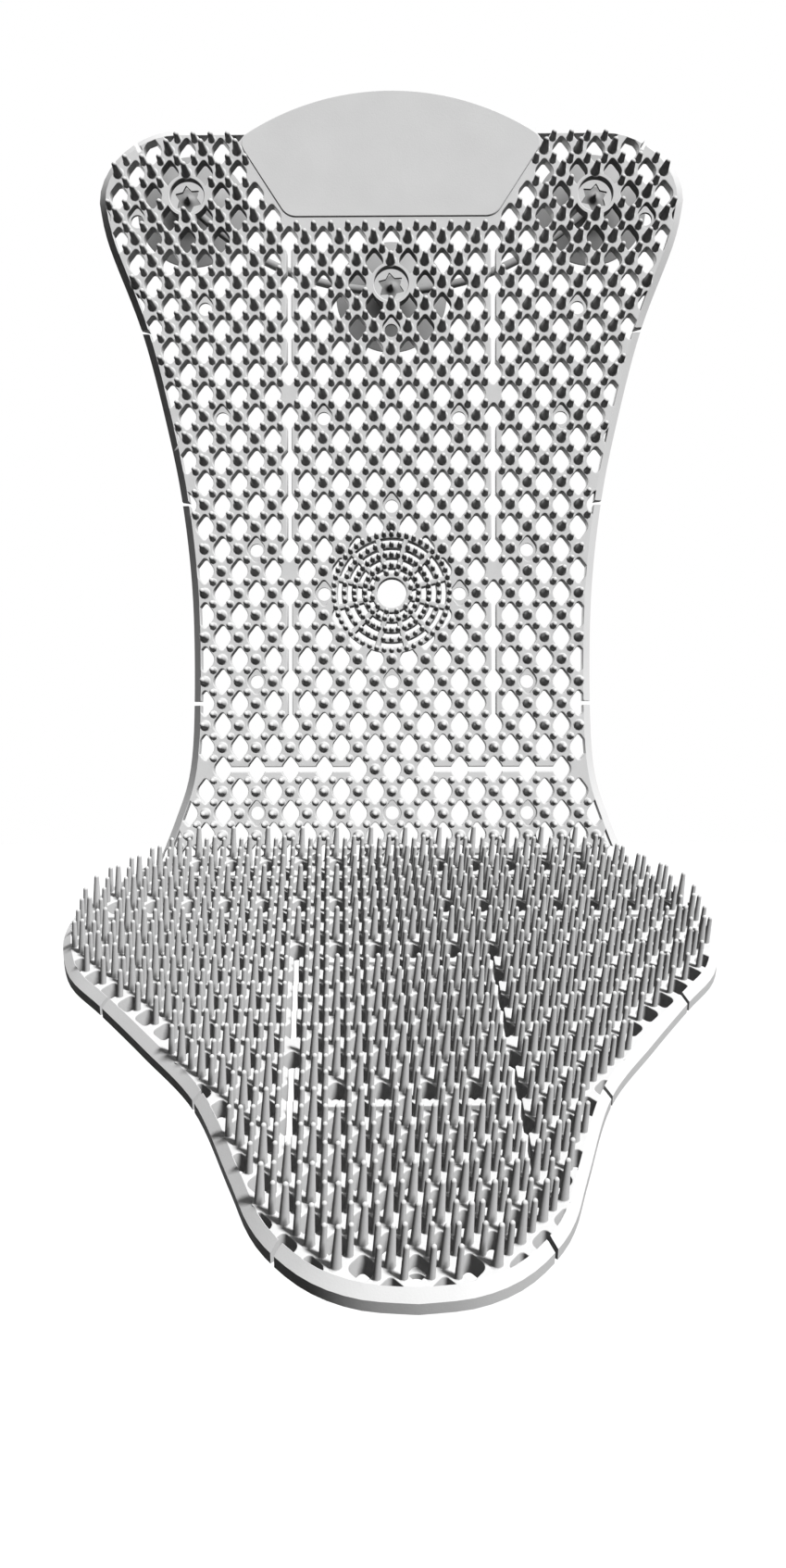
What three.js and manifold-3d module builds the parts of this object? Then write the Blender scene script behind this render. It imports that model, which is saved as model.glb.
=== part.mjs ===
// Urinal deodorizer screen: one soft moulding, an upright back panel folded forward into a
// splash mat, both an open diamond lattice with a pin on every crossing, held to the bowl by
// three suction cups on an arched bar.
// Millimetres, +Z up, -Y towards the user. The origin lies on the wall plane, in the middle of
// the foot of the middle cup's sealing lip.
// The screen is drawn flat first: x to the right, y up the sheet from the fold (negative on the
// mat), z out of the front face. Then every vertex is carried through the fold.

import * as THREE from 'three';
import { mergeGeometries, mergeVertices } from 'three/addons/utils/BufferGeometryUtils.js';
import Module from 'manifold-3d';

const wasm = await Module();
wasm.setup();

// Sheet and rim
const thickness = 5.5;
const rimChamfer = 2.4;
const rimWidth = 2.8;
const topEdge = 255.6;
const topFlat = 85;
const shoulderHalfWidth = 103.2;
const shoulderDrop = 25;
const shoulderHandleAcross = 6.25;
const shoulderHandleDown = 12.5;
const noseReach = 227;
const rimSteps = 46;
// Half width of the sheet and height where its side changes course, from shoulder to nose
const sideCourse = [
  [99.9, 216.7], [88.3, 186.2], [80.1, 155.1], [74.1, 125.3], [70.6, 92], [70.1, 54.5],
  [71.7, 30.5], [76.6, 14.1], [84.8, -0.7], [95.5, -16], [102.3, -33], [104.2, -50],
  [103, -64.7], [97.8, -82.4], [86.5, -99], [71.5, -122], [55.5, -148.2], [44.3, -181.3],
  [38.6, -199], [32.5, -210], [23.8, -219.5], [13, -225.2],
];

// Lattice: diamond openings in staggered rows, a pin on every crossing
const columnStep = 10;
const rowStep = 13;
const openingHalfWidth = 6.1;
const openingHalfHeight = 8;
const pinRootRadius = 1.9;
const pinTipRadius = 0.9;
const pinSides = 3;
const pinEmbed = 0.6;
const matPinHeight = 11.7;
const panelPinHeight = 8;

// Fold between panel and mat; the mat is turned and shifted a little, and its pins lean
const foldAngle = THREE.MathUtils.degToRad(68.5);
const foldTurn = THREE.MathUtils.degToRad(2.6);
const foldLength = 1.8;
const foldCuts = 2;
const matShift = -2.1;
const matPinLean = 0.05;

// Tear lines along which the screen is trimmed to fit a bowl: slots through the crossings of a
// column or a row, from one place of the lattice to another, stepping over bridges
const slotWidth = 1.6;
const slotColumn = 4;
const columnSlots = [[3.5, 7.4], [8.6, 11.4], [12.6, 17], [-9.4, -6.4], [-13.4, -10.6]];
const rowSlots = [
  { row: 2, from: 1.5, to: 6.3 }, { row: -1, from: 1.5, to: 6.5 }, { row: -4, from: 1.5, to: 8.5 },
  { row: -6, from: -3.4, to: 3.4 }, { row: -12, from: -3.4, to: 3.4 },
];
const notchWidth = 1.5;
const notchLength = 7;
const notches = [
  { x: 90, y: 252, turn: 60 }, { x: 88.3, y: 186.2, turn: 15 }, { x: 74.1, y: 125.3, turn: 8 },
  { x: 70.1, y: 54.5, turn: 0 }, { x: 86.5, y: -99, turn: -35 }, { x: 55.5, y: -148.2, turn: -30 },
  { x: 32.5, y: -210, turn: -45 },
];

// Drain holes: plugged cells with a round hole in a thinner web
const webThickness = 1.5;
const webDepth = 3.8;
const drainRadius = 2.35;
const drainSides = 6;
const drainHoles = [
  [66, 179.5], [60, 155.6], [24, 155.6], [48, 109], [48, 62], [48, 15.6],
  [0, 186.7], [0, 124.5], [0, 62], [0, 15.6], [0, -214],
];

// Drain rosette in the middle of the panel: open rings crossed by spokes
const rosetteY = 93.4;
const rosetteRadius = 20.8;
const rosetteSides = 20;
const rosetteHole = 4.8;
const rosetteHoleSides = 10;
const rosetteRings = [[7.6, 12.4], [14.2, 18.8]];
const rosetteSpokes = 8;
const rosetteSpokeWidth = 1.8;
const rosetteArcSteps = 2;

// Blank badge plate on the top edge
const badgeRaise = 1;
const badgeTop = 269.5;
const badgeArcRadius = 94.3;
const badgeArcSteps = 14;
const badgeShoulder = 50.2;
const badgeHalfWidth = 52.6;
const badgeCornerY = 250;
const badgeFootY = 225.4;
const badgeFootHalfWidth = 34.5;
const badgeCorner = 3.8;
const badgeCornerRise = 2.3;

// Suction cups, their seats in the panel and the bar that joins them
const cupX = 72;
const cupY = 233.4;
const middleCupY = 202.3;
const seatRadius = 6;
const seatWall = 2.2;
const seatSides = 12;
const starOuter = 5;
const starInner = 2.2;
const starPoints = 6;
const standOff = 12;
const seatClearance = 0.3;
const studClearance = 0.4;
const cupRadius = 20;
const lipInner = 16;
const lipThickness = 1.2;
const hollowDepth = 6.5;
const hollowTopRadius = 3;
const neckRadius = 4.5;
const neckHeight = 9.2;
const flankRadius = 10;
const flankHeight = 5.2;
const nubRadius = 1;
const nubLength = 1;
const nubRecess = 0.7;
const cupSides = 18;
const barRadius = 1.5;
const barHeight = 8;
const barSides = 8;
const barSteps = 20;

// Places that follow from the sizes above
const frontPlane = standOff + thickness;
const flatToWorldZ = (cupRadius + lipInner) / 2 - middleCupY;
const webFront = -webDepth;
const webBack = webFront - webThickness;
const over = 1;
const spread = 2 * (topEdge + noseReach);
const cupPlaces = [
  { x: -cupX, y: cupY }, { x: 0, y: middleCupY }, { x: cupX, y: cupY },
];

// Turns a three.js geometry into a solid that can be joined and cut
function solid(geometry) {
  geometry.deleteAttribute('normal');
  geometry.deleteAttribute('uv');
  const merged = mergeVertices(geometry, 1e-4);
  return new wasm.Manifold(new wasm.Mesh({
    numProp: 3,
    vertProperties: new Float32Array(merged.attributes.position.array),
    triVerts: new Uint32Array(merged.index.array),
  }));
}

// Flat outlines, one or several apart, as a solid between two heights
function slab(shapes, low, high) {
  const geometry = new THREE.ExtrudeGeometry(shapes, { depth: high - low, bevelEnabled: false });
  return solid(geometry.translate(0, 0, low));
}

function block(x, y, width, height, low, high, turn = 0) {
  const geometry = new THREE.BoxGeometry(width, height, high - low);
  geometry.rotateZ(turn);
  return solid(geometry.translate(x, y, (low + high) / 2));
}

function disc(x, y, radius, low, high, sides) {
  const geometry = new THREE.CylinderGeometry(radius, radius, high - low, sides);
  geometry.rotateX(Math.PI / 2);
  return solid(geometry.translate(x, y, (low + high) / 2));
}

// Outline of the sheet, drawn in by the given margin
function sheetOutline(margin) {
  const right = new THREE.Path();
  right.moveTo(0, topEdge);
  right.lineTo(topFlat, topEdge);
  right.bezierCurveTo(
    shoulderHalfWidth - shoulderHandleAcross, topEdge,
    shoulderHalfWidth, topEdge - shoulderHandleDown,
    shoulderHalfWidth, topEdge - shoulderDrop,
  );
  right.splineThru([
    ...sideCourse.map(([x, y]) => new THREE.Vector2(x, y)), new THREE.Vector2(0, -noseReach),
  ]);
  const half = right.getSpacedPoints(rimSteps);
  half[0].x = 0;
  half[rimSteps].x = 0;
  const left = half.slice(1, -1).map((point) => new THREE.Vector2(-point.x, point.y));
  const ring = [...half, ...left.reverse()];
  return ring.map((point, i) => {
    const before = ring[(i + ring.length - 1) % ring.length];
    const along = ring[(i + 1) % ring.length].clone().sub(before).normalize();
    return new THREE.Vector2(point.x + along.y * margin, point.y - along.x * margin);
  });
}

// Sheet blank: straight side wall, with the front edge chamfered all round
function sheetBlank() {
  const depth = thickness - rimChamfer + over;
  const geometry = new THREE.ExtrudeGeometry(new THREE.Shape(sheetOutline(0)), {
    depth, bevelSegments: 1, bevelSize: rimChamfer, bevelOffset: -rimChamfer,
    bevelThickness: rimChamfer,
  });
  const blank = solid(geometry.translate(0, 0, -depth - rimChamfer));
  return blank.intersect(block(0, 0, spread, spread, -thickness, over));
}

// Places of the lattice inside an outline: openings where column and row add up odd (1),
// crossings where they add up even (0)
function latticePlaces(parity, outline) {
  const places = [];
  const columns = Math.ceil(shoulderHalfWidth / columnStep);
  for (let row = -Math.ceil(noseReach / rowStep); row * rowStep < topEdge; row += 1) {
    for (let column = -columns; column <= columns; column += 1) {
      const place = new THREE.Vector2(column * columnStep, row * rowStep);
      if (Math.abs(column + row) % 2 === parity && isInside(outline, place)) {
        places.push(place);
      }
    }
  }
  return places;
}

function isInside(outline, { x, y }) {
  let within = false;
  outline.forEach((a, i) => {
    const b = outline[(i + 1) % outline.length];
    if ((a.y > y) !== (b.y > y) && x < a.x + ((y - a.y) / (b.y - a.y)) * (b.x - a.x)) {
      within = !within;
    }
  });
  return within;
}

function diamond({ x, y }) {
  return new THREE.Shape([
    new THREE.Vector2(x + openingHalfWidth, y), new THREE.Vector2(x, y + openingHalfHeight),
    new THREE.Vector2(x - openingHalfWidth, y), new THREE.Vector2(x, y - openingHalfHeight),
  ]);
}

// Both hands of a list of right-hand places
function mirrored(places) {
  return places.flatMap(([x, y]) => (x === 0 ? [[x, y]] : [[x, y], [-x, y]]))
    .map(([x, y]) => new THREE.Vector2(x, y));
}

function nearest(places, target) {
  return places.reduce((best, place) => (
    place.distanceTo(target) < best.distanceTo(target) ? place : best
  ));
}

function badgeOutline() {
  const reach = Math.asin(badgeShoulder / badgeArcRadius);
  const arc = [];
  for (let i = 0; i <= badgeArcSteps; i += 1) {
    const angle = reach - (2 * reach * i) / badgeArcSteps;
    arc.push(new THREE.Vector2(
      badgeArcRadius * Math.sin(angle),
      badgeTop - badgeArcRadius * (1 - Math.cos(angle)),
    ));
  }
  const foot = badgeFootY + badgeCornerRise;
  return [
    new THREE.Vector2(-badgeFootHalfWidth, badgeFootY),
    new THREE.Vector2(badgeFootHalfWidth, badgeFootY),
    new THREE.Vector2(badgeFootHalfWidth + badgeCorner, foot),
    new THREE.Vector2(badgeHalfWidth, badgeCornerY),
    ...arc,
    new THREE.Vector2(-badgeHalfWidth, badgeCornerY),
    new THREE.Vector2(-badgeFootHalfWidth - badgeCorner, foot),
  ];
}

// Open part of one rosette ring between two spokes
function rosetteArc(inner, outer, spoke) {
  const middle = (2 * Math.PI * (spoke + 0.5)) / rosetteSpokes;
  const edge = (radius, step) => {
    const half = Math.PI / rosetteSpokes - Math.asin(rosetteSpokeWidth / 2 / radius);
    const angle = middle + half * ((2 * step) / rosetteArcSteps - 1);
    return new THREE.Vector2(radius * Math.cos(angle), rosetteY + radius * Math.sin(angle));
  };
  const steps = [...Array(rosetteArcSteps + 1).keys()];
  return new THREE.Shape([
    ...steps.map((step) => edge(outer, step)), ...steps.reverse().map((step) => edge(inner, step)),
  ]);
}

function rosetteOpenings() {
  const openings = rosetteRings.flatMap(([inner, outer]) => (
    [...Array(rosetteSpokes).keys()].map((spoke) => rosetteArc(inner, outer, spoke))
  ));
  return slab(openings, -thickness - over, over)
    .add(disc(0, rosetteY, rosetteHole, -thickness - over, over, rosetteHoleSides));
}

function starOutline({ x, y }) {
  const points = [];
  for (let i = 0; i < 2 * starPoints; i += 1) {
    const radius = i % 2 ? starInner : starOuter;
    const angle = Math.PI / 2 + (Math.PI * i) / starPoints;
    points.push(new THREE.Vector2(x + radius * Math.cos(angle), y + radius * Math.sin(angle)));
  }
  return new THREE.Shape(points);
}

// Slots and rim notches of the tear lines
function tearLines() {
  const cuts = [];
  columnSlots.forEach(([low, high]) => {
    const middle = ((low + high) / 2) * rowStep;
    const length = (high - low) * rowStep;
    [-slotColumn, slotColumn].forEach((column) => {
      const x = column * columnStep;
      cuts.push(block(x, middle, slotWidth, length, -thickness - over, over));
    });
  });
  rowSlots.forEach(({ row, from, to }) => {
    const middle = (from + to) / 2;
    const length = (to - from) * columnStep;
    new Set([-middle, middle]).forEach((column) => {
      const x = column * columnStep;
      cuts.push(block(x, row * rowStep, length, slotWidth, -thickness - over, over));
    });
  });
  notches.forEach(({ x, y, turn }) => {
    const angle = THREE.MathUtils.degToRad(turn);
    cuts.push(block(x, y, notchLength, notchWidth, -thickness - over, over, angle));
    cuts.push(block(-x, y, notchLength, notchWidth, -thickness - over, over, -angle));
  });
  return wasm.Manifold.union(cuts);
}

// A tapered pin on each of the given crossings
function pins(places, height) {
  const all = places.map(({ x, y }) => {
    const pin = new THREE.CylinderGeometry(pinTipRadius, pinRootRadius, height + pinEmbed, pinSides);
    pin.rotateX(Math.PI / 2);
    return pin.translate(x, y, (height - pinEmbed) / 2);
  });
  return solid(mergeGeometries(all));
}

// The whole screen before it is folded
function flatScreen() {
  const insideRim = sheetOutline(rimWidth);
  const rim = slab(new THREE.Shape(insideRim), -thickness - over, over);
  const badge = badgeOutline();
  const openPlaces = latticePlaces(1, insideRim);
  const drainPlaces = mirrored(drainHoles).map((drain) => nearest(openPlaces, drain));
  const openings = slab(openPlaces.map(diamond), -thickness - over, over).intersect(rim);
  const webs = slab(drainPlaces.map(diamond), webBack, webFront);
  let screen = sheetBlank().subtract(openings).add(webs).subtract(tearLines());
  drainPlaces.forEach(({ x, y }) => {
    screen = screen.subtract(disc(x, y, drainRadius, -thickness, 0, drainSides));
  });
  screen = screen.add(slab(new THREE.Shape(badge), -thickness, badgeRaise))
    .add(disc(0, rosetteY, rosetteRadius, -thickness, 0, rosetteSides))
    .subtract(rosetteOpenings());
  cupPlaces.forEach((seat) => {
    const { x, y } = seat;
    screen = screen.add(disc(x, y, seatRadius + seatWall, -thickness, 0, seatSides))
      .subtract(disc(x, y, seatRadius, webFront, over, seatSides))
      .subtract(disc(x, y, seatRadius, -thickness - over, webBack, seatSides))
      .subtract(slab(starOutline(seat), webBack - over, webFront + over));
  });
  const crossings = latticePlaces(0, sheetOutline(rimWidth + pinRootRadius)).filter((place) => (
    !isInside(badge, place) && !onTearLine(place)
    && place.distanceTo(new THREE.Vector2(0, rosetteY)) > rosetteRadius + pinRootRadius
    && cupPlaces.every(({ x, y }) => Math.hypot(place.x - x, place.y - y) > seatRadius + seatWall)
  ));
  return screen
    .add(pins(crossings.filter(({ y }) => y > 0), panelPinHeight))
    .add(pins(crossings.filter(({ y }) => y <= 0), matPinHeight));
}

// Whether a crossing is cut by a slot
function onTearLine({ x, y }) {
  const column = Math.abs(x) / columnStep;
  const row = y / rowStep;
  return columnSlots.some(([low, high]) => (
    Math.abs(column - slotColumn) < 0.5 && row > low && row < high
  )) || rowSlots.some((slot) => (
    Math.abs(row - slot.row) < 0.5 && column > slot.from && column < slot.to
  ));
}

// Adds vertices where a mesh crosses the line y = level, so that it can bend there
function splitAt({ points, faces }, level) {
  const made = new Map();
  const cross = (a, b) => {
    const key = a < b ? `${a} ${b}` : `${b} ${a}`;
    if (!made.has(key)) {
      const [p, q] = a < b ? [points[a], points[b]] : [points[b], points[a]];
      made.set(key, points.push(p.clone().lerp(q, (level - p.y) / (q.y - p.y))) - 1);
    }
    return made.get(key);
  };
  const side = (i) => Math.sign(Math.abs(points[i].y - level) < 1e-6 ? 0 : points[i].y - level);
  const result = [];
  faces.forEach((face) => {
    const sides = face.map(side);
    const turn = [0, 1, 2].find((i) => (
      sides[i] !== 0 && sides[(i + 1) % 3] !== sides[i] && sides[(i + 2) % 3] !== sides[i]
      && (sides[(i + 1) % 3] === -sides[i] || sides[(i + 2) % 3] === -sides[i])
    ));
    if (turn === undefined) {
      result.push(face);
      return;
    }
    const [a, b, c] = [0, 1, 2].map((i) => face[(turn + i) % 3]);
    if (side(b) === 0) {
      const ca = cross(c, a);
      result.push([a, b, ca], [b, c, ca]);
    } else if (side(c) === 0) {
      const ab = cross(a, b);
      result.push([a, ab, c], [ab, b, c]);
    } else {
      const ab = cross(a, b);
      const ca = cross(c, a);
      result.push([a, ab, ca], [ab, b, c], [ab, c, ca]);
    }
  });
  return { points, faces: result };
}

// Carries a point of the flat screen to its place: upright panel, fold, then mat
function folded(flat) {
  const panelNormal = new THREE.Vector3(0, -1, 0);
  const down = new THREE.Vector3(0, 0, -1);
  const upright = new THREE.Vector3(flat.x, -frontPlane, flat.y + flatToWorldZ);
  if (flat.y >= foldLength) {
    return upright.addScaledVector(panelNormal, flat.z);
  }
  const turn = new THREE.Matrix4().makeRotationZ(foldTurn);
  const across = new THREE.Vector3(1, 0, 0).applyMatrix4(turn);
  const forward = new THREE.Vector3(0, -Math.sin(foldAngle), -Math.cos(foldAngle)).applyMatrix4(turn);
  const up = new THREE.Vector3(0, -Math.cos(foldAngle), Math.sin(foldAngle)).applyMatrix4(turn);
  const tangent = (foldLength / foldAngle) * Math.tan(foldAngle / 2);
  const corner = foldLength - tangent;
  const shift = matShift + matPinLean * Math.max(flat.z, 0);
  const onMat = (y) => new THREE.Vector3(0, -frontPlane, corner + flatToWorldZ)
    .addScaledVector(across, flat.x + shift)
    .addScaledVector(forward, tangent - y);
  if (flat.y <= 0) {
    return onMat(flat.y).addScaledVector(up, flat.z);
  }
  const t = 1 - flat.y / foldLength;
  const start = new THREE.Vector3(flat.x, -frontPlane, foldLength + flatToWorldZ);
  const bend = new THREE.CubicBezierCurve3(
    start, start.clone().addScaledVector(down, foldLength / 3),
    onMat(foldLength / 3), onMat(0),
  );
  const normal = panelNormal.lerp(up, t).normalize();
  return bend.getPoint(t).addScaledVector(normal, flat.z);
}

function screenGeometry() {
  const { numProp, vertProperties, triVerts } = flatScreen().getMesh();
  let mesh = { points: [], faces: [] };
  for (let i = 0; i < vertProperties.length; i += numProp) {
    mesh.points.push(new THREE.Vector3(...vertProperties.slice(i, i + 3)));
  }
  for (let i = 0; i < triVerts.length; i += 3) {
    mesh.faces.push([...triVerts.slice(i, i + 3)]);
  }
  for (let cut = 0; cut <= foldCuts; cut += 1) {
    mesh = splitAt(mesh, (foldLength * cut) / foldCuts);
  }
  const geometry = new THREE.BufferGeometry();
  const position = mesh.points.flatMap((point) => folded(point).toArray());
  geometry.setAttribute('position', new THREE.Float32BufferAttribute(position, 3));
  geometry.setIndex(mesh.faces.flat());
  geometry.computeVertexNormals();
  return geometry;
}

// One suction cup with its neck, stud and nub, standing out from the wall plane
function cup({ x, y }) {
  const seat = standOff - seatClearance + (thickness + webBack);
  const studRadius = starInner - studClearance;
  const nubTop = frontPlane - nubRecess;
  const profile = [
    [0, hollowDepth], [hollowTopRadius, hollowDepth], [lipInner, 0], [cupRadius, 0],
    [cupRadius, lipThickness], [flankRadius, flankHeight], [neckRadius, neckHeight],
    [neckRadius, seat], [studRadius, seat], [studRadius, nubTop - nubLength],
    [nubRadius, nubTop - nubLength], [nubRadius, nubTop], [0, nubTop],
  ].map(([radius, height]) => new THREE.Vector2(radius, height));
  const geometry = new THREE.LatheGeometry(profile, cupSides);
  geometry.rotateZ(Math.PI);
  return solid(geometry).transform(
    new THREE.Matrix4().makeTranslation(x, 0, y + flatToWorldZ).toArray(),
  );
}

// Bar through the three cups, on the circle that their middles share
function bar() {
  const rise = cupY - middleCupY;
  const radius = (cupX * cupX + rise * rise) / (2 * rise);
  const half = Math.asin(cupX / radius);
  class Arch extends THREE.Curve {
    getPoint(t) {
      const angle = half * (2 * t - 1);
      const z = middleCupY + radius * (1 - Math.cos(angle)) + flatToWorldZ;
      return new THREE.Vector3(radius * Math.sin(angle), -barHeight, z);
    }
  }
  const section = new THREE.Shape(new THREE.EllipseCurve(0, 0, barRadius, barRadius)
    .getPoints(barSides).slice(0, -1));
  return solid(new THREE.ExtrudeGeometry(section, {
    steps: barSteps, extrudePath: new Arch(), bevelEnabled: false,
  }));
}

function toGeometry(manifold) {
  const { vertProperties, triVerts } = manifold.getMesh();
  const geometry = new THREE.BufferGeometry();
  geometry.setAttribute('position', new THREE.BufferAttribute(vertProperties, 3));
  geometry.setIndex(new THREE.BufferAttribute(triVerts, 1));
  geometry.computeVertexNormals();
  return geometry;
}

const foamPlastic = new THREE.MeshStandardMaterial({ color: 0xdcdcdc, roughness: 0.6 });
const cupVinyl = new THREE.MeshStandardMaterial({ color: 0xc8c8c8, roughness: 0.4 });

const screen = new THREE.Mesh(screenGeometry(), foamPlastic);
screen.name = 'screen';

const cups = new THREE.Mesh(
  toGeometry(wasm.Manifold.union([bar(), ...cupPlaces.map(cup)])), cupVinyl,
);
cups.name = 'suction_cups';

const model = new THREE.Group();
model.add(screen, cups);

export default model;
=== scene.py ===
# Urinal deodorizer screen: a soft moulded lattice sheet, upright panel folded forward into a
# splash mat, with its pins, drains, cup seats and blank badge plate, and its suction cups.
# The sheet is drawn flat in millimetres: x to the right, y up the sheet from the fold
# (negative on the mat), z out of the front face. Then it is carried through the fold.
import math

import bmesh
import bpy
import numpy as np
from mathutils import Matrix, Vector


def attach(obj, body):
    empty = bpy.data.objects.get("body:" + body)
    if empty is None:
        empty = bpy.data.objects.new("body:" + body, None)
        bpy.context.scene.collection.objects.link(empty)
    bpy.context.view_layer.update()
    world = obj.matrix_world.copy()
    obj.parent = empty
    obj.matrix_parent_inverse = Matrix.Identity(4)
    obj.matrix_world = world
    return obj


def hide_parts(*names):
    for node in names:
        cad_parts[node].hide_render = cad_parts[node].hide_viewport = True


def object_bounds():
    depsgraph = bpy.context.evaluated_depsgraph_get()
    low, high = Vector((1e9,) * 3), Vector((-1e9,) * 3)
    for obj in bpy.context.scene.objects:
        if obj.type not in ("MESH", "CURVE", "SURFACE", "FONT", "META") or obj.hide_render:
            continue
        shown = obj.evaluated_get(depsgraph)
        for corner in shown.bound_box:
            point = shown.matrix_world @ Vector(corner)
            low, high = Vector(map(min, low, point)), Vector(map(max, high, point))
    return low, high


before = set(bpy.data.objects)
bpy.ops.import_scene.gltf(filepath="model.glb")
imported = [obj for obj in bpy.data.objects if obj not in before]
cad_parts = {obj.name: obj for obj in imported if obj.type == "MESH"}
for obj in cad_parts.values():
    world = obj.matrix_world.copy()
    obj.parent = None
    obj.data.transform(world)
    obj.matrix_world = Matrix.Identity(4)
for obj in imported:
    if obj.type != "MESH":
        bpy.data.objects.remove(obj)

CAD_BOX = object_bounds()
MM = 0.001

# Sheet and rim
THICKNESS = 5.5
RIM_CHAMFER = 2.5
RIM_WIDTH = 2.7
TOP_EDGE = 257
TOP_FLAT = 75.4
SHOULDER_HALF_WIDTH = 103.2
SHOULDER_DROP = 25
SHOULDER_HANDLE_ACROSS = 13.2
SHOULDER_HANDLE_DOWN = 12.5
NOSE_REACH = 227
# Half width of the sheet and height where its side changes course, from shoulder to nose
SIDE_COURSE = [
    (99.9, 216.7), (88.3, 186.2), (80.1, 155.1), (74.1, 125.3), (70.6, 92), (70.1, 54.5),
    (71.7, 30.5), (76.6, 14.1), (84.2, -4), (94.8, -22), (102, -37), (104.2, -51),
    (103, -64.7), (97.8, -82.4), (86.5, -99), (71.5, -122), (55.5, -148.2), (44.3, -181.3),
    (38.6, -199), (32.5, -210), (23.8, -219.5), (13, -225.2),
]
CURVE_STEPS = 12
RIM_STEPS = 150

# Lattice: an opening in every cell whose column and row add up even, a crossing where odd
COLUMN = 6
ROW = 7.78
OPENING_HALF_WIDTH = 3.94
OPENING_HALF_HEIGHT = OPENING_HALF_WIDTH * ROW / COLUMN
OPENING_SIDE_RADIUS = 3
OPENING_TIP_RADIUS = 0.95
OPENING_CORNER_STEPS = 4
EDGE_ROUND = 0.45
LAST_COLUMN = 18
FIRST_ROW = -30
LAST_ROW = 33
OVER = 1

# Pins: root radius, tip radius, height and fillet at the foot
MAT_TALL = (1.3, 0.74, 11.7, 0.5)
MAT_SHORT = (0.92, 0.72, 9.2, 0.3)
PANEL_TALL = (1.58, 0.9, 9.4, 0.5)
PANEL_SHORT = (1.2, 0.92, 6.2, 0.3)
TALL_SIDES = 12
SHORT_SIDES = 8
PIN_EMBED = 0.3
# Share of its root radius by which a pin keeps clear of the rim and other plain places
PIN_MARGIN = 0.7
# Where the foot's fillet bends, in fillets, and where the tip bends and ends, in tip radii
FOOT_BEND = (0.3, 0.35)
TIP_BEND = (0.8, 0.4)
TIP_END = 0.35

# Fold between panel and mat
FOLD_ANGLE = math.radians(68.5)
FOLD_TURN = math.radians(2.6)
FOLD_LENGTH = 1.8
FOLD_CUTS = 4
MAT_SHIFT = -2.1
MAT_PIN_LEAN = 0.05

# Tear lines, by column and row of the lattice
SLOT_WIDTH = 1.6
SLOT_CORNER = 0.3
COLUMN_SLOTS = [
    (6, 6.2, 11.8), (6, 14.2, 19.8), (6, 22.2, 27.8), (5, -14.8, -9.2), (5, -22.8, -17.2),
]
ROW_SLOTS = [
    (4, 2.2, 9.8), (-2, 2.2, 11.8), (-6, 2.2, 15.8), (-10, -4.4, 4.4), (-20, -4.4, 4.4),
]
BARE_CROSSINGS = [(6, 21), (6, 13), (11, 4), (12, 3), (5, -16)]
NOTCH_WIDTH = 1.5
NOTCH_LENGTH = 7
NOTCHES = [
    (90, 252, 60), (88.3, 186.2, 15), (74.1, 125.3, 8), (70.1, 54.5, 0), (86.5, -99, -35),
    (55.5, -148.2, -30), (32.5, -210, -45),
]
FOLD_RELIEF = (78, 0.5, 3.3)
RELIEF_SIDES = 24

# Drains: plugged cells with a round hole in a thinner web, by column and row
WEB_THICKNESS = 1.5
WEB_DEPTH = 3.8
DRAIN_RADIUS = 2.35
DRAIN_SIDES = 32
DRAINS = [
    (15, 29), (11, 25), (0, 24), (10, 20), (4, 20), (0, 16), (8, 14), (4, 12), (8, 8), (0, 8),
    (8, 2), (0, 2), (0, -28),
]

# Drain rosette
ROSETTE_Y = 93.4
ROSETTE_RADIUS = 21.2
ROSETTE_SIDES = 72
ROSETTE_HOLE = 5.2
ROSETTE_HOLE_SIDES = 40
ROSETTE_RINGS = [(7.1, 8.6), (10.6, 12.2), (14.2, 15.7), (17.7, 19.2)]
ROSETTE_SPOKES = 12
ROSETTE_SPOKE_WIDTH = 1.9
ROSETTE_EDGE = 0.8
ROSETTE_ARC_STEPS = 5
# Radius of each ring of small pins and how many stand between two spokes
ROSETTE_PIN_RINGS = [(6.9, 1), (9.5, 2), (13.2, 3), (16.7, 3), (20.4, 4)]
ROSETTE_PIN = (0.95, 0.7, 7, 0.12)

# Blank badge plate
BADGE_RAISE = 1
BADGE_TOP = 269.5
BADGE_ARC_RADIUS = 94.3
BADGE_ARC_STEPS = 48
BADGE_SHOULDER = 50.2
BADGE_SIDE = (54.6, 253.1, 4.3)
BADGE_FOOT = (36.8, 225.4, 6)
BADGE_CORNER_STEPS = 8
BADGE_EDGE = 0.25

# Suction cups, their seats and the bar that joins them
CUP_X = 72
CUP_Y = 233.4
MIDDLE_CUP_Y = 202.3
SEAT_RADIUS = 6.1
SEAT_WALL = 1.2
SEAT_SIDES = 48
STAR_OUTER = 5
STAR_INNER = 3.2
STAR_CORNER = 0.25
STAR_POINTS = 6
STAR_TURN = math.radians(8)
STAND_OFF = 12
SEAT_CLEARANCE = 0.3
STUD_CLEARANCE = 0.4
STUD_RISE = 2.2
CUP_RADIUS = 20
LIP_INNER = 16
LIP_THICKNESS = 1.2
LIP_EASE = 0.4
LIP_SHOULDER = 0.96
HOLLOW_DEPTH = 6.5
HOLLOW_TOP_RADIUS = 3
# Radius and height of the cup's flank where it bends, from lip to neck
CUP_FLANK = [(12, 4.1), (10, 5.2), (6.6, 7.3), (5, 8.6)]
NECK_RADIUS = 4.5
NECK_HEIGHT = 9.2
NECK_EASE = 0.3
NUB_RADIUS = 1.5
NUB_TIP_RADIUS = 0.5
NUB_END_RADIUS = 0.375
NUB_RECESS = 0.7
CUP_SIDES = 72
BAR_RADIUS = 1.5
BAR_HEIGHT = 8
BAR_SIDES = 20
BAR_STEPS = 64

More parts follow.
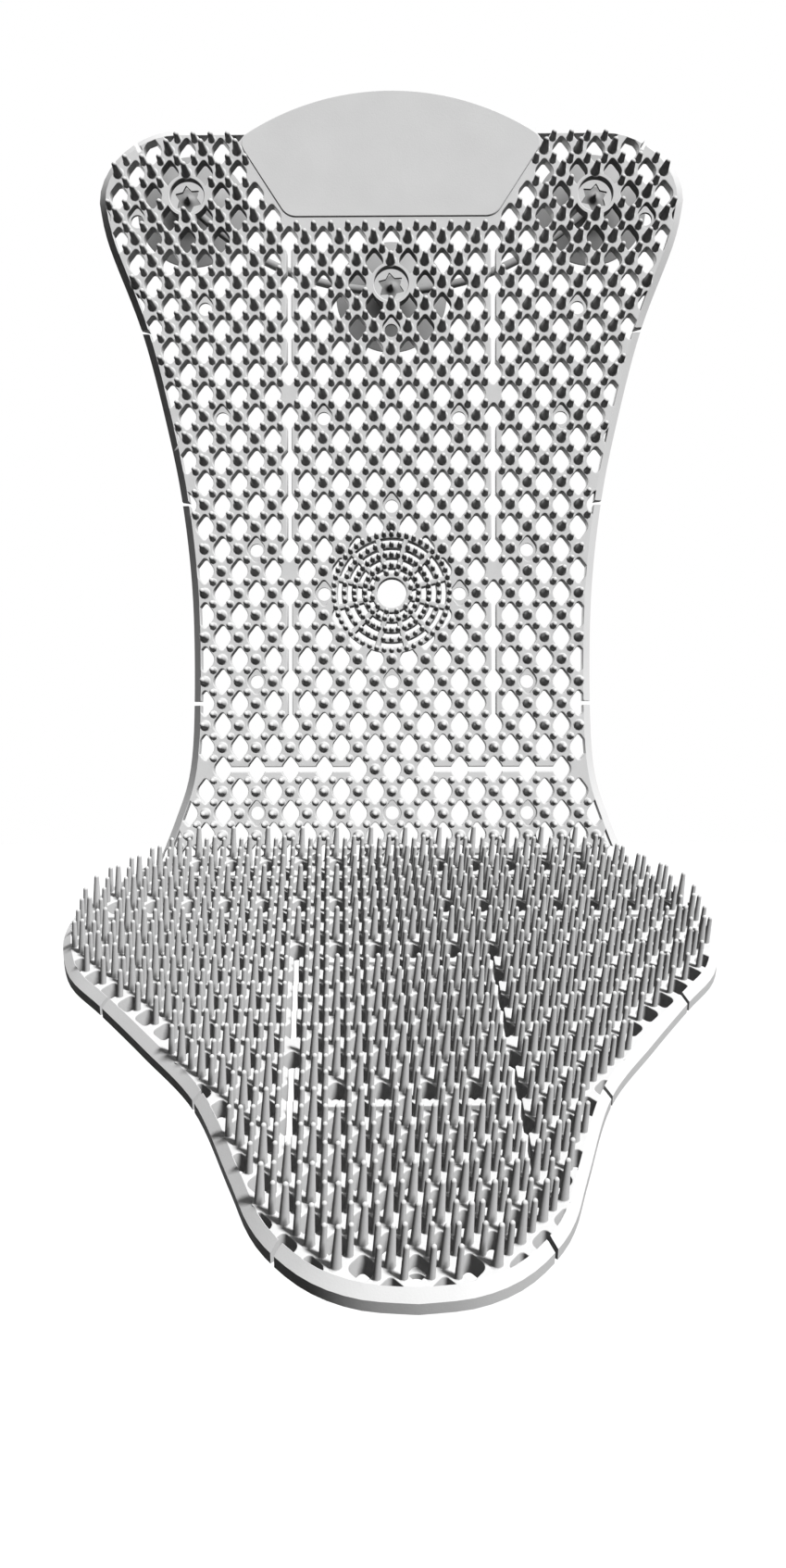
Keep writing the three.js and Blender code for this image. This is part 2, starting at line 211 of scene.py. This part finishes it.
# Places that follow from the sizes above
FRONT_PLANE = STAND_OFF + THICKNESS
FLAT_TO_Z = (CUP_RADIUS + LIP_INNER) / 2 - MIDDLE_CUP_Y
CUP_PLACES = [(-CUP_X, CUP_Y), (0, MIDDLE_CUP_Y), (CUP_X, CUP_Y)]
WEB_BACK = -WEB_DEPTH - WEB_THICKNESS

# Camera of the photograph, 849 x 1693 pixels
PHOTO_HEIGHT = 1693
FOCAL_PIXELS = 1671
SENSOR = 36
CAMERA_PLACE = (5 * MM, -564.2 * MM, -152.7 * MM)
CAMERA_PITCH = math.radians(-0.6)
CAMERA_YAW = math.radians(0.49)
CAMERA_ROLL = math.radians(0.12)
CAMERA_CLIP = (0.05, 60)

# Looks: scales are of noise per metre, shares and tones run from 0 to 1
SPECULAR = 0.1
GLOSS_SPREAD = 0.05
MOTTLE_SCALE = 60
MOTTLE_DETAIL = 4
MOTTLE_BAND = (0.35, 0.65)
GRAIN_SCALE = 1800
GRAIN_DETAIL = 3
GRAIN_HEIGHT = 0.1 * MM
SHEET_SHARP = math.radians(35)
PIN_SHARP = math.radians(50)

# Light: where each lamp stands, its strength and its spread in degrees
KEY_LAMP = ((0.42, -0.55, 0.72), 4.4, 8)
SOFT_LAMP = ((0.2, -0.6, 0.75), 0.3, 60)
BACK_LAMP = ((-0.35, 0.9, 0.25), 1.6, 30)
SKY_STRENGTH = 0.02
FLOOR_DROP = 0.5
FLOOR_HALF_WIDTH = 12
FLOOR_SEEN = 0.85
FLOOR_LIFT = 0.05
FLOOR_UNSEEN = 0.05


def catmull(points, steps):
    """Smooth curve through points, as a list of places, without the first."""
    course = []
    for i in range(len(points) - 1):
        a, b, c, d = (points[min(max(k, 0), len(points) - 1)] for k in range(i - 1, i + 3))
        for step in range(1, steps + 1):
            t = step / steps
            start, end = (c - a) / 2, (d - b) / 2
            course.append(
                (2 * b - 2 * c + start + end) * t**3
                + (3 * c - 3 * b - 2 * start - end) * t**2 + start * t + b
            )
    return course


def bezier(a, b, c, d, t):
    return a * (1 - t)**3 + 3 * b * t * (1 - t)**2 + 3 * c * t**2 * (1 - t) + d * t**3


def right_half():
    """Right half of the sheet's outline from the top middle to the nose, evenly spaced."""
    flat = np.array((TOP_FLAT, TOP_EDGE), float)
    shoulder = np.array((SHOULDER_HALF_WIDTH, TOP_EDGE - SHOULDER_DROP), float)
    across = np.array((SHOULDER_HALF_WIDTH - SHOULDER_HANDLE_ACROSS, TOP_EDGE), float)
    down = np.array((SHOULDER_HALF_WIDTH, TOP_EDGE - SHOULDER_HANDLE_DOWN), float)
    course = [np.array((0, TOP_EDGE), float), flat]
    for step in range(1, CURVE_STEPS + 1):
        course.append(bezier(flat, across, down, shoulder, step / CURVE_STEPS))
    side = [shoulder, *(np.array(place, float) for place in SIDE_COURSE)]
    course += catmull([*side, np.array((0, -NOSE_REACH), float)], CURVE_STEPS)
    course = np.array(course)
    length = np.r_[0, np.cumsum(np.linalg.norm(np.diff(course, axis=0), axis=1))]
    even = np.linspace(0, length[-1], RIM_STEPS + 1)
    return np.column_stack([np.interp(even, length, course[:, axis]) for axis in (0, 1)])


RIGHT_HALF = right_half()


def sheet_outline(margin):
    """Outline of the sheet, counter-clockwise, drawn in by a margin."""
    left = RIGHT_HALF[1:-1] * (-1, 1)
    ring = np.vstack([RIGHT_HALF[::-1], left])
    along = np.roll(ring, -1, axis=0) - np.roll(ring, 1, axis=0)
    along /= np.linalg.norm(along, axis=1)[:, None]
    return ring + margin * np.column_stack([-along[:, 1], along[:, 0]])


def is_inside(outline, places):
    """Which of the places lie inside an outline."""
    x, y = np.asarray(places, float).T
    within = np.zeros(len(x), bool)
    for (ax, ay), (bx, by) in zip(outline, np.roll(outline, -1, axis=0)):
        spans = (ay > y) != (by > y)
        if spans.any():
            within ^= spans & (x < ax + (y - ay) / (by - ay) * (bx - ax))
    return within


def circle(x, y, radius, count):
    angle = np.arange(count) * 2 * math.pi / count
    return np.column_stack([x + radius * np.cos(angle), y + radius * np.sin(angle)])


def rounded(corners, steps):
    """Counter-clockwise outline through corners of (x, y, radius)."""
    outline = []
    for i, (x, y, radius) in enumerate(corners):
        corner = np.array((x, y), float)
        if not radius:
            outline.append(corner)
            continue
        before = np.array(corners[i - 1][:2]) - corner
        after = np.array(corners[(i + 1) % len(corners)][:2]) - corner
        before = before / np.linalg.norm(before)
        after = after / np.linalg.norm(after)
        half = math.acos(before @ after) / 2
        middle = (before + after) / np.linalg.norm(before + after)
        centre = corner + middle * radius / math.sin(half)
        start = corner + before * radius / math.tan(half) - centre
        end = corner + after * radius / math.tan(half) - centre
        first = math.atan2(start[1], start[0])
        sweep = (math.atan2(end[1], end[0]) - first + math.pi) % (2 * math.pi) - math.pi
        for step in range(steps + 1):
            angle = first + sweep * step / steps
            outline.append(centre + radius * np.array((math.cos(angle), math.sin(angle))))
    return np.array(outline)


def at(outline, height):
    """An outline as a ring at one height."""
    return np.column_stack([outline, np.full(len(outline), float(height))])


def loft(rings):
    """Closed solid through rings of one count, counter-clockwise, lowest first."""
    count = len(rings[0])
    faces = [list(range(count - 1, -1, -1))]
    for level in range(len(rings) - 1):
        low = level * count
        for i in range(count):
            j = (i + 1) % count
            faces.append([low + i, low + j, low + count + j, low + count + i])
    top = (len(rings) - 1) * count
    faces.append([top + i for i in range(count)])
    return np.vstack(rings), faces


def prism(outline, low, high):
    return loft([at(outline, low), at(outline, high)])


def cutter(outline_at, edge=EDGE_ROUND):
    """Opening right through the sheet, with its front edge rounded over."""
    bend = edge * (1 - math.sqrt(0.5))
    return loft([
        at(outline_at(0), -THICKNESS - OVER), at(outline_at(0), -edge),
        at(outline_at(bend), -bend), at(outline_at(edge), 0), at(outline_at(edge), OVER),
    ])


def gathered(solids):
    """Several solids as the points and faces of one mesh."""
    points, faces, start = [], [], 0
    for solid_points, solid_faces in solids:
        points.append(solid_points)
        faces += [[start + i for i in face] for face in solid_faces]
        start += len(solid_points)
    return np.vstack(points), faces


def mesh_of(solids, name="shape"):
    points, faces = gathered(solids)
    mesh = bpy.data.meshes.new(name)
    mesh.from_pydata(points.tolist(), [], faces)
    return mesh


def boolean(body, tool, operation):
    """Joins or cuts two closed meshes into a new one and uses both up."""
    objects = []
    for mesh in (body, tool):
        part = bpy.data.objects.new("boolean", mesh)
        bpy.context.collection.objects.link(part)
        objects.append(part)
    modifier = objects[0].modifiers.new("boolean", "BOOLEAN")
    modifier.solver = "MANIFOLD"
    modifier.operation = operation
    modifier.object = objects[1]
    graph = bpy.context.evaluated_depsgraph_get()
    result = bpy.data.meshes.new_from_object(objects[0].evaluated_get(graph))
    for part in objects:
        bpy.data.objects.remove(part)
    bpy.data.meshes.remove(body)
    bpy.data.meshes.remove(tool)
    return result


def opening_outline(column, row):
    """Rounded diamond opening of one cell, grown by a margin."""
    x, y = column * COLUMN, row * ROW
    slant = math.hypot(OPENING_HALF_WIDTH, OPENING_HALF_HEIGHT)

    def outline_at(margin):
        width = OPENING_HALF_WIDTH + margin * slant / OPENING_HALF_HEIGHT
        height = OPENING_HALF_HEIGHT + margin * slant / OPENING_HALF_WIDTH
        side = OPENING_SIDE_RADIUS + margin
        tip = OPENING_TIP_RADIUS + margin
        return rounded([
            (x + width, y, side), (x, y + height, tip),
            (x - width, y, side), (x, y - height, tip),
        ], OPENING_CORNER_STEPS)
    return outline_at


def slot_outline(x, y, width, height, turn=0):
    """Straight slot with eased corners, grown by a margin."""
    def outline_at(margin):
        half_width, half_height = width / 2 + margin, height / 2 + margin
        corner = SLOT_CORNER + margin
        shape = rounded([
            (half_width, -half_height, corner), (half_width, half_height, corner),
            (-half_width, half_height, corner), (-half_width, -half_height, corner),
        ], 2)
        c, s = math.cos(turn), math.sin(turn)
        return shape @ np.array([[c, s], [-s, c]]) + (x, y)
    return outline_at


def mirrored(places):
    """Both hands of places given for the right-hand side."""
    return [place for x, y in places for place in ([(x, y)] if x == 0 else [(x, y), (-x, y)])]


def badge_outline(margin):
    reach = math.asin(BADGE_SHOULDER / BADGE_ARC_RADIUS)
    radius = BADGE_ARC_RADIUS + margin
    arc = []
    for step in range(BADGE_ARC_STEPS + 1):
        angle = reach * (1 - 2 * step / BADGE_ARC_STEPS)
        rise = radius * math.cos(angle) - BADGE_ARC_RADIUS
        arc.append((radius * math.sin(angle), BADGE_TOP + rise, 0))
    foot_x, foot_y, foot_radius = BADGE_FOOT
    side_x, side_y, side_radius = BADGE_SIDE
    return rounded([
        (-foot_x - margin, foot_y - margin, foot_radius),
        (foot_x + margin, foot_y - margin, foot_radius),
        (side_x + margin, side_y, side_radius), *arc,
        (-side_x - margin, side_y, side_radius),
    ], BADGE_CORNER_STEPS)


def rosette_hole(margin):
    return circle(0, ROSETTE_Y, ROSETTE_HOLE + margin, ROSETTE_HOLE_SIDES)


def rosette_arc(inner, outer, sector):
    """Open part of one rosette ring between two spokes, grown by a margin."""
    middle = 2 * math.pi * sector / ROSETTE_SPOKES

    def edge(radius, margin, direction):
        half = math.pi / ROSETTE_SPOKES - math.asin((ROSETTE_SPOKE_WIDTH / 2 - margin) / radius)
        return [
            (radius * math.cos(middle + half * turn), ROSETTE_Y + radius * math.sin(middle + half * turn))
            for turn in np.linspace(-direction, direction, ROSETTE_ARC_STEPS)
        ]

    def outline_at(margin):
        return np.array(edge(outer + margin, margin, 1) + edge(inner - margin, margin, -1))
    return outline_at


def star_outline(x, y, turn):
    corners = []
    for i in range(2 * STAR_POINTS):
        radius = STAR_INNER if i % 2 else STAR_OUTER
        angle = math.pi / 2 + math.pi * i / STAR_POINTS + turn
        corners.append((x + radius * math.cos(angle), y + radius * math.sin(angle), STAR_CORNER))
    return rounded(corners, 2)


def lattice(half_steps):
    """Columns and rows of the lattice, whole or half way between."""
    columns = np.arange(-LAST_COLUMN, LAST_COLUMN + half_steps) + half_steps / 2
    rows = np.arange(FIRST_ROW, LAST_ROW + 1 + half_steps) + half_steps / 2
    return np.array([(column, row) for row in rows for column in columns])


def cells(odd):
    grid = lattice(0)
    return grid[(grid.sum(axis=1) % 2) == odd]


def in_slot(column, row):
    """Whether a crossing is cut by a tear line."""
    if any(abs(column) == at_column and low < row < high for at_column, low, high in COLUMN_SLOTS):
        return True
    return any(row == at_row and low < abs(column) < high for at_row, low, high in ROW_SLOTS)


def keep_outs():
    """Solid places of the sheet that the lattice's openings stop at."""
    discs = [circle(x, y, SEAT_RADIUS + SEAT_WALL, SEAT_SIDES) for x, y in CUP_PLACES]
    outlines = [badge_outline(0), circle(0, ROSETTE_Y, ROSETTE_RADIUS, ROSETTE_SIDES), *discs]
    return [prism(outline, -THICKNESS - 2 * OVER, 2 * OVER) for outline in outlines]


def tear_cutters():
    cuts = []
    for column, low, high in COLUMN_SLOTS:
        for x in (-column * COLUMN, column * COLUMN):
            middle = (low + high) / 2 * ROW
            cuts.append(cutter(slot_outline(x, middle, SLOT_WIDTH, (high - low) * ROW)))
    for row, low, high in ROW_SLOTS:
        for middle in {(low + high) / 2, -(low + high) / 2}:
            x = middle * COLUMN
            cuts.append(cutter(slot_outline(x, row * ROW, (high - low) * COLUMN, SLOT_WIDTH)))
    for x, y, turn in NOTCHES:
        angle = math.radians(turn)
        cuts.append(cutter(slot_outline(x, y, NOTCH_LENGTH, NOTCH_WIDTH, angle)))
        cuts.append(cutter(slot_outline(-x, y, NOTCH_LENGTH, NOTCH_WIDTH, -angle)))
    x, y, radius = FOLD_RELIEF
    for side in (-x, x):
        cuts.append(cutter(lambda margin, side=side: circle(side, y, radius + margin, RELIEF_SIDES)))
    return cuts


def flat_sheet():
    """The whole sheet before it is folded, without its pins."""
    blank = mesh_of([loft([
        at(sheet_outline(0), -THICKNESS), at(sheet_outline(0), -RIM_CHAMFER),
        at(sheet_outline(RIM_CHAMFER), 0),
    ])])
    badge = mesh_of([loft([
        at(badge_outline(0), -THICKNESS), at(badge_outline(0), BADGE_RAISE - BADGE_EDGE),
        at(badge_outline(-BADGE_EDGE), BADGE_RAISE),
    ])])
    sheet = boolean(blank, badge, "UNION")

    places = cells(0)
    places = places[is_inside(sheet_outline(0), places * (COLUMN, ROW))]
    places = places[~is_inside(badge_outline(0), places * (COLUMN, ROW))]
    openings = mesh_of([cutter(opening_outline(*place)) for place in places])
    limit = mesh_of([cutter(lambda margin: sheet_outline(RIM_WIDTH - margin))])
    openings = boolean(openings, limit, "INTERSECT")
    openings = boolean(openings, mesh_of(keep_outs()), "DIFFERENCE")
    sheet = boolean(sheet, openings, "DIFFERENCE")

    webs = []
    drains = []
    for column, row in mirrored(DRAINS):
        webs.append(prism(opening_outline(column, row)(EDGE_ROUND), WEB_BACK, -WEB_DEPTH))
        hole = circle(column * COLUMN, row * ROW, DRAIN_RADIUS, DRAIN_SIDES)
        drains.append(prism(hole, WEB_BACK - OVER, OVER))
    sheet = boolean(sheet, mesh_of(webs), "UNION")
    sheet = boolean(sheet, mesh_of(drains), "DIFFERENCE")

    cuts = tear_cutters()
    cuts.append(cutter(rosette_hole))
    for inner, outer in ROSETTE_RINGS:
        cuts += [
            cutter(rosette_arc(inner, outer, sector), ROSETTE_EDGE)
            for sector in range(ROSETTE_SPOKES)
        ]
    for x, y in CUP_PLACES:
        bevel = EDGE_ROUND / 2
        wall = circle(x, y, SEAT_RADIUS, SEAT_SIDES)
        mouth = circle(x, y, SEAT_RADIUS + bevel, SEAT_SIDES)
        cuts.append(loft([at(wall, -WEB_DEPTH), at(wall, -bevel), at(mouth, 0), at(mouth, OVER)]))
        cuts.append(prism(wall, -THICKNESS - OVER, WEB_BACK))
    sheet = boolean(sheet, mesh_of(cuts), "DIFFERENCE")
    stars = [
        prism(star_outline(x, y, math.copysign(STAR_TURN, -x)), WEB_BACK - OVER, OVER)
        for x, y in CUP_PLACES
    ]
    return boolean(sheet, mesh_of(stars), "DIFFERENCE")


def fold(flat, course):
    """Carries flat points through the fold, each by the height that its course gives."""
    x, y, z = (flat[:, axis:axis + 1] for axis in range(3))
    course = course[:, None]
    turn = np.array(Matrix.Rotation(FOLD_TURN, 3, "Z"))
    across = turn @ (1, 0, 0)
    forward = turn @ (0, -math.sin(FOLD_ANGLE), -math.cos(FOLD_ANGLE))
    up = turn @ (0, -math.cos(FOLD_ANGLE), math.sin(FOLD_ANGLE))
    panel_normal = np.array((0, -1, 0))
    down = np.array((0, 0, -1))
    tangent = FOLD_LENGTH / FOLD_ANGLE * math.tan(FOLD_ANGLE / 2)
    corner = np.array((0, -FRONT_PLANE, FOLD_LENGTH - tangent + FLAT_TO_Z))
    shift = MAT_SHIFT + MAT_PIN_LEAN * np.maximum(z, 0)

    def on_mat(height):
        return corner + (x + shift) * across + (tangent - height) * forward

    def on_panel(height):
        return np.hstack([x, np.full_like(x, -FRONT_PLANE), height + FLAT_TO_Z + 0 * x])

    t = np.clip(1 - y / FOLD_LENGTH, 0, 1)
    start = on_panel(FOLD_LENGTH)
    bend = bezier(start, start + down * FOLD_LENGTH / 3, on_mat(FOLD_LENGTH / 3), on_mat(0), t)
    normal = panel_normal * (1 - t) + up * t
    normal = normal / np.linalg.norm(normal, axis=1)[:, None]
    placed = np.where(
        course >= FOLD_LENGTH, on_panel(y) + z * panel_normal,
        np.where(course <= 0, on_mat(y) + z * up, bend + z * normal),
    )
    return placed * MM


def sheet_mesh():
    """The sheet cut across where it bends, and folded."""
    mesh = flat_sheet()
    shape = bmesh.new()
    shape.from_mesh(mesh)
    for cut in range(FOLD_CUTS + 1):
        bmesh.ops.bisect_plane(
            shape, geom=shape.verts[:] + shape.edges[:] + shape.faces[:],
            plane_co=(0, FOLD_LENGTH * cut / FOLD_CUTS, 0), plane_no=(0, 1, 0),
        )
    shape.to_mesh(mesh)
    shape.free()
    flat = np.empty(len(mesh.vertices) * 3)
    mesh.vertices.foreach_get("co", flat)
    flat = flat.reshape(-1, 3)
    mesh.vertices.foreach_set("co", fold(flat, flat[:, 1]).ravel())
    mesh.name = "lattice_sheet"
    mesh.update()
    return mesh


def pin(x, y, root, tip, height, fillet, sides):
    """Tapered round pin with a filleted foot and a rounded tip."""
    profile = [
        (root + fillet, -PIN_EMBED), (root + fillet, 0),
        (root + fillet * FOOT_BEND[0], fillet * FOOT_BEND[1]), (root, fillet),
        (tip, height - tip), (tip * TIP_BEND[0], height - tip * TIP_BEND[1]),
        (tip * TIP_END, height),
    ]
    return loft([at(circle(x, y, radius, sides), level) for radius, level in profile])


def stands_free(places, margin):
    """Which places of the flat sheet are clear of rim, badge, rosette and cup seats."""
    free = is_inside(sheet_outline(RIM_WIDTH + margin), places)
    free &= ~is_inside(badge_outline(margin), places)
    free &= np.hypot(places[:, 0], places[:, 1] - ROSETTE_Y) > ROSETTE_RADIUS + margin
    for x, y in CUP_PLACES:
        free &= np.hypot(places[:, 0] - x, places[:, 1] - y) > SEAT_RADIUS + margin
    x, y, radius = FOLD_RELIEF
    return free & (np.hypot(abs(places[:, 0]) - x, places[:, 1] - y) > radius + margin)


def pins(on_mat):
    """All pins of the mat or of the panel, folded to their places."""
    crossings = cells(1)
    bare = mirrored(BARE_CROSSINGS)
    crossings = np.array([
        place for place in crossings if not in_slot(*place) and tuple(place) not in bare
    ]) * (COLUMN, ROW)
    struts = lattice(1) * (COLUMN, ROW)
    solids = []
    for places, (root, tip, height, fillet), sides in (
        (crossings, MAT_TALL if on_mat else PANEL_TALL, TALL_SIDES),
        (struts, MAT_SHORT if on_mat else PANEL_SHORT, SHORT_SIDES),
    ):
        places = places[stands_free(places, root * PIN_MARGIN)]
        places = places[(places[:, 1] <= 0) == on_mat]
        solids += [pin(x, y, root, tip, height, fillet, sides) for x, y in places]
    if not on_mat:
        root, tip, height, fillet = ROSETTE_PIN
        for radius, count in ROSETTE_PIN_RINGS:
            turn = math.pi * (1 / ROSETTE_SPOKES if count == 1 else 0)
            ring = circle(0, 0, radius, ROSETTE_SPOKES * count)
            c, s = math.cos(turn), math.sin(turn)
            ring = ring @ np.array([[c, s], [-s, c]]) + (0, ROSETTE_Y)
            solids += [pin(x, y, root, tip, height, fillet, SHORT_SIDES) for x, y in ring]
    points, faces = gathered(solids)
    course = np.full(len(points), -1.0 if on_mat else FOLD_LENGTH)
    mesh = bpy.data.meshes.new("mat_pins" if on_mat else "panel_pins")
    mesh.from_pydata(fold(points, course).tolist(), [], faces)
    return mesh


def cup(x, y):
    """One suction cup with its neck, the cone seen through the star, and its slender nub."""
    seat = STAND_OFF - SEAT_CLEARANCE + THICKNESS + WEB_BACK
    stud = STAR_INNER - STUD_CLEARANCE
    top = FRONT_PLANE - NUB_RECESS
    profile = [
        (HOLLOW_TOP_RADIUS, HOLLOW_DEPTH), (LIP_INNER, 0), (CUP_RADIUS - LIP_EASE, 0),
        (CUP_RADIUS, LIP_EASE), (CUP_RADIUS, LIP_SHOULDER), (CUP_RADIUS - LIP_EASE, LIP_THICKNESS),
        *CUP_FLANK, (NECK_RADIUS, NECK_HEIGHT), (NECK_RADIUS, seat - NECK_EASE),
        (NECK_RADIUS - NECK_EASE, seat), (stud, seat), (NUB_RADIUS, seat + STUD_RISE / 3),
        (NUB_TIP_RADIUS, seat + STUD_RISE), (NUB_END_RADIUS, top),
    ]
    return loft([at(circle(x, y, radius, CUP_SIDES), level) for radius, level in profile])


def bar():
    """Round bar through the three cups, on the circle that their middles share."""
    rise = CUP_Y - MIDDLE_CUP_Y
    radius = (CUP_X**2 + rise**2) / (2 * rise)
    half = math.asin(CUP_X / radius)
    rings = []
    for angle in np.linspace(-half, half, BAR_STEPS + 1):
        s, c = math.sin(angle), math.cos(angle)
        centre = np.array((radius * s, MIDDLE_CUP_Y + radius * (1 - c), BAR_HEIGHT))
        section = circle(0, 0, BAR_RADIUS, BAR_SIDES)
        rings.append(centre + section[:, :1] * (-s, c, 0) + section[:, 1:] * (0, 0, 1))
    return loft(rings)


def cups_mesh():
    mesh = mesh_of([bar()])
    for place in CUP_PLACES:
        mesh = boolean(mesh, mesh_of([cup(*place)]), "UNION")
    turn = Matrix(((MM, 0, 0, 0), (0, 0, -MM, 0), (0, MM, 0, FLAT_TO_Z * MM), (0, 0, 0, 1)))
    mesh.transform(turn)
    mesh.name = "cup_set"
    mesh.update()
    return mesh


def moulded(name, dark, light, roughness, grain):
    """Grey moulded plastic: faint mottling between two tones, uneven gloss, a fine grain."""
    material = bpy.data.materials.new(name)
    material.use_nodes = True
    nodes, links = material.node_tree.nodes, material.node_tree.links
    shader = nodes["Principled BSDF"]
    shader.inputs["Specular IOR Level"].default_value = SPECULAR
    place = nodes.new("ShaderNodeTexCoord")
    mottle = nodes.new("ShaderNodeTexNoise")
    mottle.inputs["Scale"].default_value = MOTTLE_SCALE
    mottle.inputs["Detail"].default_value = MOTTLE_DETAIL
    tint = nodes.new("ShaderNodeValToRGB")
    for stop, position, tone in zip(tint.color_ramp.elements, MOTTLE_BAND, (dark, light)):
        stop.position = position
        stop.color = (tone, tone, tone, 1)
    gloss = nodes.new("ShaderNodeMapRange")
    gloss.inputs["To Min"].default_value = roughness - GLOSS_SPREAD
    gloss.inputs["To Max"].default_value = roughness + GLOSS_SPREAD
    fine = nodes.new("ShaderNodeTexNoise")
    fine.inputs["Scale"].default_value = GRAIN_SCALE
    fine.inputs["Detail"].default_value = GRAIN_DETAIL
    bump = nodes.new("ShaderNodeBump")
    bump.inputs["Strength"].default_value = grain
    bump.inputs["Distance"].default_value = GRAIN_HEIGHT
    links.new(place.outputs["Object"], mottle.inputs["Vector"])
    links.new(place.outputs["Object"], fine.inputs["Vector"])
    links.new(mottle.outputs["Fac"], tint.inputs["Fac"])
    links.new(mottle.outputs["Fac"], gloss.inputs["Value"])
    links.new(tint.outputs["Color"], shader.inputs["Base Color"])
    links.new(gloss.outputs["Result"], shader.inputs["Roughness"])
    links.new(fine.outputs["Fac"], bump.inputs["Height"])
    links.new(bump.outputs["Normal"], shader.inputs["Normal"])
    return material


def add_piece(mesh, material, node, sharp):
    """Puts one finished mesh into the scene in place of a solid of the frame."""
    piece = bpy.data.objects.new(mesh.name, mesh)
    bpy.context.collection.objects.link(piece)
    mesh.materials.clear()
    mesh.materials.append(material)
    mesh.polygons.foreach_set("use_smooth", [True] * len(mesh.polygons))
    mesh.set_sharp_from_angle(angle=sharp)
    weighted = piece.modifiers.new("weighted", "WEIGHTED_NORMAL")
    weighted.keep_sharp = True
    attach(piece, "root")
    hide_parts(node)
    return piece


def pale_floor():
    """Wide plain floor below the hung part, white where it is seen and dark where it isn't."""
    low = CAD_BOX[0][2] - FLOOR_DROP
    reach = FLOOR_HALF_WIDTH
    mesh = bpy.data.meshes.new("floor")
    corners = [(-reach, -reach), (reach, -reach), (reach, reach), (-reach, reach)]
    mesh.from_pydata([(x, y, low) for x, y in corners], [], [[0, 1, 2, 3]])
    floor = bpy.data.objects.new("floor", mesh)
    bpy.context.collection.objects.link(floor)
    material = bpy.data.materials.new("floor")
    material.use_nodes = True
    nodes, links = material.node_tree.nodes, material.node_tree.links
    nodes.clear()
    seen = seen_directly(nodes, links)
    dark = nodes.new("ShaderNodeBsdfDiffuse")
    dark.inputs["Color"].default_value = (FLOOR_UNSEEN, FLOOR_UNSEEN, FLOOR_UNSEEN, 1)
    pale = nodes.new("ShaderNodeBsdfDiffuse")
    pale.inputs["Color"].default_value = (FLOOR_SEEN, FLOOR_SEEN, FLOOR_SEEN, 1)
    lift = nodes.new("ShaderNodeEmission")
    lift.inputs["Strength"].default_value = FLOOR_LIFT
    white = nodes.new("ShaderNodeAddShader")
    mix = nodes.new("ShaderNodeMixShader")
    output = nodes.new("ShaderNodeOutputMaterial")
    links.new(pale.outputs["BSDF"], white.inputs[0])
    links.new(lift.outputs["Emission"], white.inputs[1])
    links.new(seen, mix.inputs["Fac"])
    links.new(dark.outputs["BSDF"], mix.inputs[1])
    links.new(white.outputs["Shader"], mix.inputs[2])
    links.new(mix.outputs["Shader"], output.inputs["Surface"])
    mesh.materials.append(material)


def seen_directly(nodes, links):
    """1 for rays from the camera and those that gloss or glass shows, 0 for other light."""
    path = nodes.new("ShaderNodeLightPath")
    total = path.outputs["Is Camera Ray"]
    for name in ("Is Glossy Ray", "Is Transmission Ray"):
        either = nodes.new("ShaderNodeMath")
        either.operation = "MAXIMUM"
        links.new(total, either.inputs[0])
        links.new(path.outputs[name], either.inputs[1])
        total = either.outputs["Value"]
    return total


def sun(name, towards, energy, spread):
    lamp = bpy.data.lights.new(name, "SUN")
    lamp.energy = energy
    lamp.angle = math.radians(spread)
    light = bpy.data.objects.new(name, lamp)
    bpy.context.collection.objects.link(light)
    light.rotation_euler = Vector(towards).to_track_quat("Z", "Y").to_euler()
    return light


def studio_light(shading):
    """Key lamp that one piece alone shades, soft lamps in front and behind, faint sky."""
    key = sun("key", *KEY_LAMP)
    key.data.cycles.max_bounces = 0
    shades = bpy.data.collections.new("shades")
    shades.objects.link(shading)
    key.light_linking.blocker_collection = shades
    sun("soft", *SOFT_LAMP)
    sun("back", *BACK_LAMP)

    world = bpy.data.worlds.new("studio")
    bpy.context.scene.world = world
    world.use_nodes = True
    nodes, links = world.node_tree.nodes, world.node_tree.links
    nodes.clear()
    seen = seen_directly(nodes, links)
    sky = nodes.new("ShaderNodeBackground")
    sky.inputs["Color"].default_value = (1, 1, 1, 1)
    sky.inputs["Strength"].default_value = SKY_STRENGTH
    white = nodes.new("ShaderNodeBackground")
    white.inputs["Color"].default_value = (1, 1, 1, 1)
    white.inputs["Strength"].default_value = 1
    mix = nodes.new("ShaderNodeMixShader")
    output = nodes.new("ShaderNodeOutputWorld")
    links.new(seen, mix.inputs["Fac"])
    links.new(sky.outputs["Background"], mix.inputs[1])
    links.new(white.outputs["Background"], mix.inputs[2])
    links.new(mix.outputs["Shader"], output.inputs["Surface"])


def photo_camera():
    camera = bpy.data.cameras.new("camera")
    camera.sensor_fit = "VERTICAL"
    camera.sensor_height = SENSOR
    camera.lens = SENSOR * FOCAL_PIXELS / PHOTO_HEIGHT
    camera.clip_start, camera.clip_end = CAMERA_CLIP
    view = bpy.data.objects.new("camera", camera)
    bpy.context.collection.objects.link(view)
    turn = Matrix.Rotation(CAMERA_YAW, 4, "Z") @ Matrix.Rotation(math.pi / 2 + CAMERA_PITCH, 4, "X")
    view.matrix_world = (
        Matrix.Translation(CAMERA_PLACE) @ turn @ Matrix.Rotation(-CAMERA_ROLL, 4, "Z")
    )
    bpy.context.scene.camera = view


photo_camera()
sheet_plastic = moulded("sheet_plastic", dark=0.72, light=0.75, roughness=0.6, grain=0.25)
cup_vinyl = moulded("cup_vinyl", dark=0.33, light=0.37, roughness=0.42, grain=0.1)
add_piece(sheet_mesh(), sheet_plastic, "screen", SHEET_SHARP)
add_piece(pins(on_mat=False), sheet_plastic, "screen", PIN_SHARP)
mat_pins = add_piece(pins(on_mat=True), sheet_plastic, "screen", PIN_SHARP)
add_piece(cups_mesh(), cup_vinyl, "suction_cups", SHEET_SHARP)
pale_floor()
studio_light(mat_pins)
bpy.context.scene.view_settings.view_transform = "Standard"
